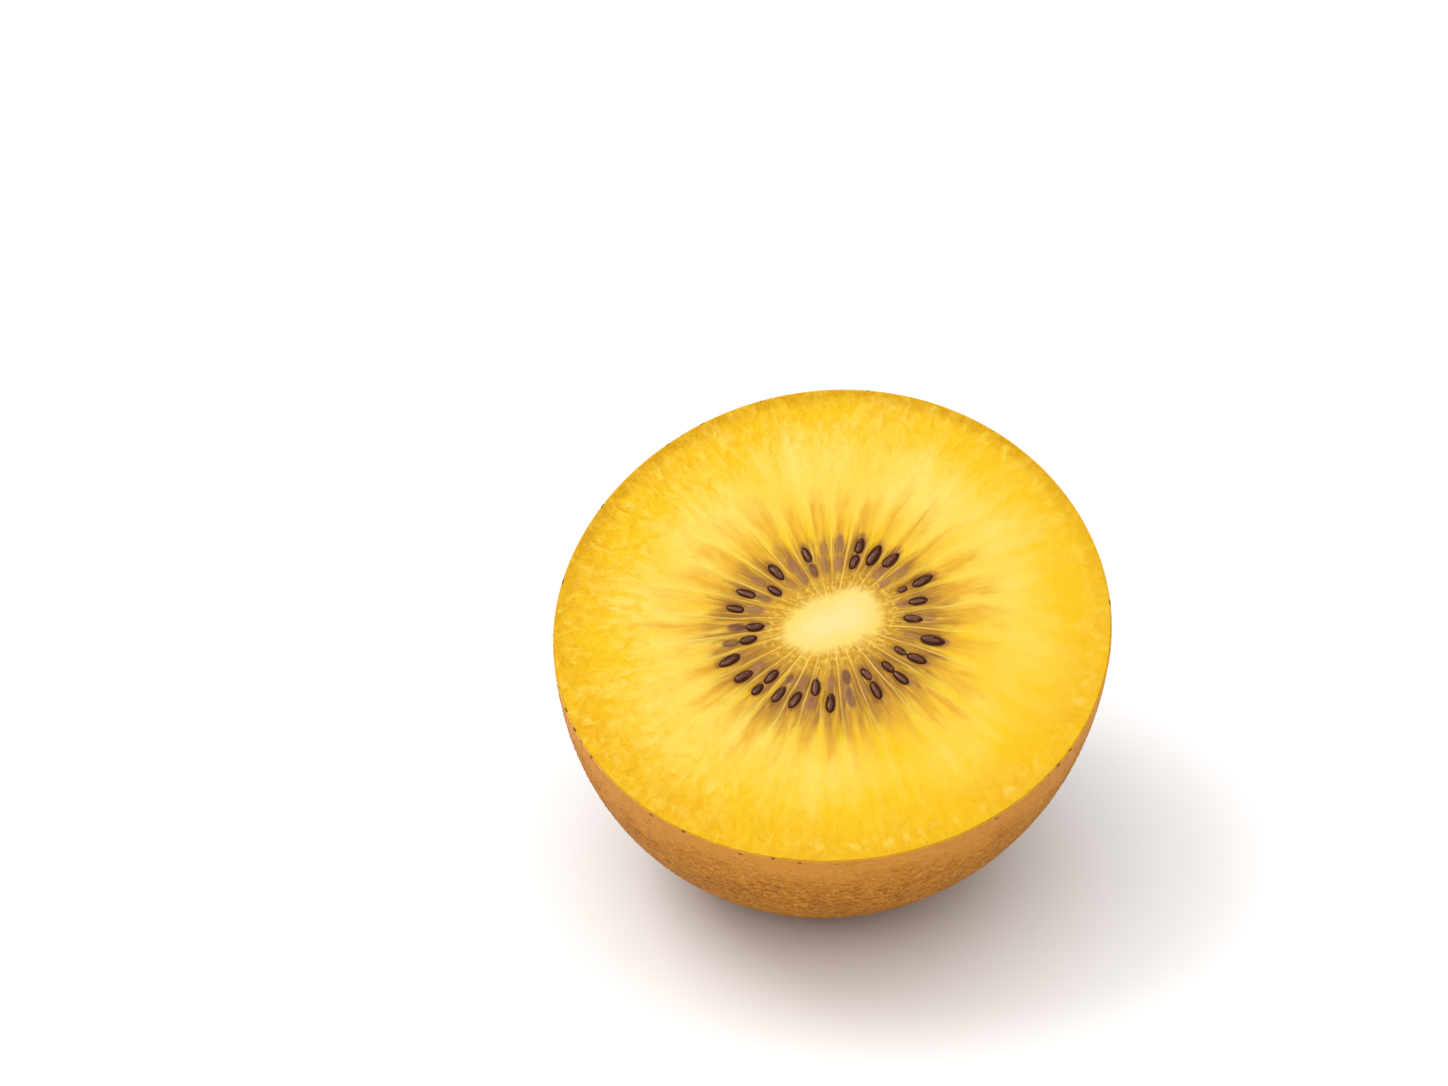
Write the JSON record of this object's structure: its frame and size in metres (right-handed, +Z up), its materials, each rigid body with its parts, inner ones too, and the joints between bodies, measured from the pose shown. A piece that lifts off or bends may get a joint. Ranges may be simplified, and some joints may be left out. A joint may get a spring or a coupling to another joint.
{
  "type": "golden kiwi fruit half",
  "caption": "Half of a golden kiwi fruit, cut across and lying on its brown skin, with the yellow flesh, pale core and dark seeds facing up.",
  "frame": {"origin": "under the middle of the fruit's box, on the surface that it rests on", "axes": "+Z up, +X along the longer way across the cut face, and the cut face leans towards -Y"},
  "size_m": [0.0516, 0.0502, 0.0452],
  "materials": {
    "skin": "matte",
    "flesh": "satin",
    "seed": "gloss",
    "dried_flower": "matte"
  },
  "bodies": {
    "root": {"kiwi_half": "skin"}
  },
  "joints": []
}
